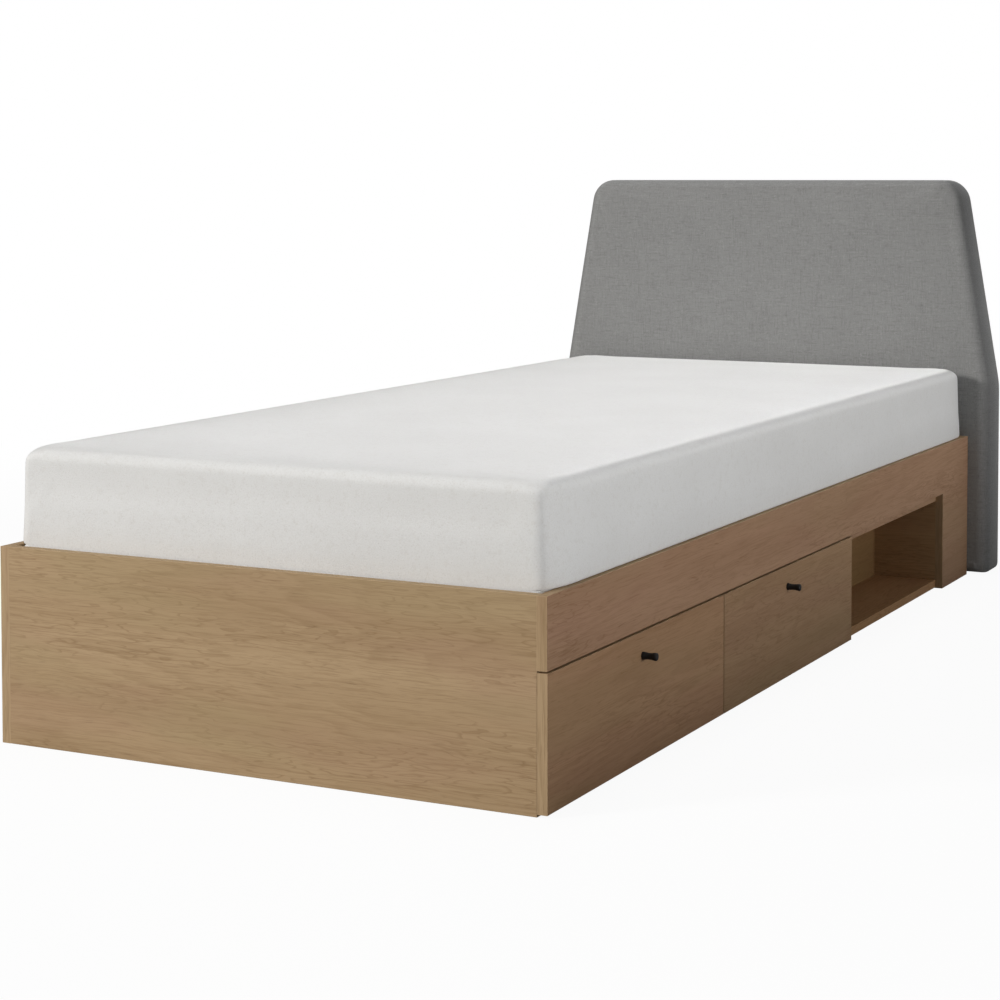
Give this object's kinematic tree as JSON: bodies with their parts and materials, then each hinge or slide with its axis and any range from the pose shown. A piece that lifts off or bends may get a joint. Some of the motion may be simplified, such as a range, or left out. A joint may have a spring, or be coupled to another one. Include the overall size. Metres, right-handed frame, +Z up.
{
  "type": "storage bed",
  "caption": "Single bed with an oak board frame, drawers and an open niche in one side, a mattress and a grey upholstered headboard.",
  "frame": {"origin": "on the floor, under the middle of the whole bed", "axes": "+Z up, +Y towards the headboard, +X towards the drawers"},
  "size_m": [1.028, 2.1542, 0.864],
  "materials": {
    "oak_board": "light oak laminate, matt, fine grain",
    "drawer_board": "light oak laminate, matt",
    "white_hardboard": "white lacquered hardboard",
    "beech": "planed solid beech, raw",
    "chipboard": "board under black lining cloth",
    "webbing": "woven tape",
    "mattress_fabric": "white knitted cover",
    "headboard_fabric": "grey woven upholstery",
    "zinc_steel": "bright zinc plate",
    "cage_steel": "pressed steel, oiled",
    "black_metal": "black satin powder coat"
  },
  "bodies": {
    "bed": {"foot_panel": "oak_board", "head_panel": "oak_board", "left_side_panel": "oak_board", "right_side_panel": "oak_board", "middle_panel": "oak_board", "drawer_divider": "oak_board", "niche_left_divider": "oak_board", "niche_right_divider": "oak_board", "cross_panel_1": "oak_board", "cross_panel_2": "oak_board", "niche_back": "oak_board", "niche_bottom": "oak_board", "niche_top": "oak_board", "ledge_left": "beech", "ledge_right": "beech", "slats": "beech", "slat_straps": "webbing", "mattress": "mattress_fabric", "headboard_padding": "headboard_fabric", "headboard_core": "chipboard", "headboard_bolts": "zinc_steel", "headboard_nuts": "zinc_steel", "cams": "zinc_steel", "cam_bolts": "zinc_steel", "dowels": "beech", "drawer_1_slide_outer_foot": "zinc_steel", "drawer_1_slide_outer_head": "zinc_steel", "drawer_2_slide_outer_foot": "zinc_steel", "drawer_2_slide_outer_head": "zinc_steel"},
    "drawer_1": {"drawer_1_front": "oak_board", "drawer_1_side_foot": "drawer_board", "drawer_1_side_head": "drawer_board", "drawer_1_back": "drawer_board", "drawer_1_bottom": "white_hardboard", "drawer_1_knob": "black_metal", "drawer_1_knob_screw": "zinc_steel", "drawer_1_slide_inner_foot": "zinc_steel", "drawer_1_slide_inner_head": "zinc_steel"},
    "drawer_1_middle_members": {"drawer_1_slide_middle_foot": "zinc_steel", "drawer_1_slide_middle_head": "zinc_steel"},
    "drawer_1_outer_cages": {"drawer_1_outer_cages": "cage_steel"},
    "drawer_1_inner_cages": {"drawer_1_inner_cages": "cage_steel"},
    "drawer_2": {"drawer_2_front": "oak_board", "drawer_2_side_foot": "drawer_board", "drawer_2_side_head": "drawer_board", "drawer_2_back": "drawer_board", "drawer_2_bottom": "white_hardboard", "drawer_2_knob": "black_metal", "drawer_2_knob_screw": "zinc_steel", "drawer_2_slide_inner_foot": "zinc_steel", "drawer_2_slide_inner_head": "zinc_steel"},
    "drawer_2_middle_members": {"drawer_2_slide_middle_foot": "zinc_steel", "drawer_2_slide_middle_head": "zinc_steel"},
    "drawer_2_outer_cages": {"drawer_2_outer_cages": "cage_steel"},
    "drawer_2_inner_cages": {"drawer_2_inner_cages": "cage_steel"}
  },
  "joints": [
    {"name": "drawer_1_slide", "type": "slide", "parent": "bed", "child": "drawer_1", "axis": [1, 0, 0], "range_m": [0, 0.48]},
    {"name": "drawer_1_middle_members_slide", "type": "slide", "parent": "bed", "child": "drawer_1_middle_members", "axis": [1, 0, 0], "range_m": [0, 0.24]},
    {"name": "drawer_1_outer_cages_slide", "type": "slide", "parent": "bed", "child": "drawer_1_outer_cages", "axis": [1, 0, 0], "range_m": [0, 0.12]},
    {"name": "drawer_1_inner_cages_slide", "type": "slide", "parent": "bed", "child": "drawer_1_inner_cages", "axis": [1, 0, 0], "range_m": [0, 0.36]},
    {"name": "drawer_2_slide", "type": "slide", "parent": "bed", "child": "drawer_2", "axis": [1, 0, 0], "range_m": [0, 0.48]},
    {"name": "drawer_2_middle_members_slide", "type": "slide", "parent": "bed", "child": "drawer_2_middle_members", "axis": [1, 0, 0], "range_m": [0, 0.24]},
    {"name": "drawer_2_outer_cages_slide", "type": "slide", "parent": "bed", "child": "drawer_2_outer_cages", "axis": [1, 0, 0], "range_m": [0, 0.12]},
    {"name": "drawer_2_inner_cages_slide", "type": "slide", "parent": "bed", "child": "drawer_2_inner_cages", "axis": [1, 0, 0], "range_m": [0, 0.36]}
  ],
  "couplings": [
    {"joint": "drawer_1_middle_members_slide", "follows": "drawer_1_slide", "ratio": 0.5},
    {"joint": "drawer_1_outer_cages_slide", "follows": "drawer_1_slide", "ratio": 0.25},
    {"joint": "drawer_1_inner_cages_slide", "follows": "drawer_1_slide", "ratio": 0.75},
    {"joint": "drawer_2_middle_members_slide", "follows": "drawer_2_slide", "ratio": 0.5},
    {"joint": "drawer_2_outer_cages_slide", "follows": "drawer_2_slide", "ratio": 0.25},
    {"joint": "drawer_2_inner_cages_slide", "follows": "drawer_2_slide", "ratio": 0.75}
  ]
}
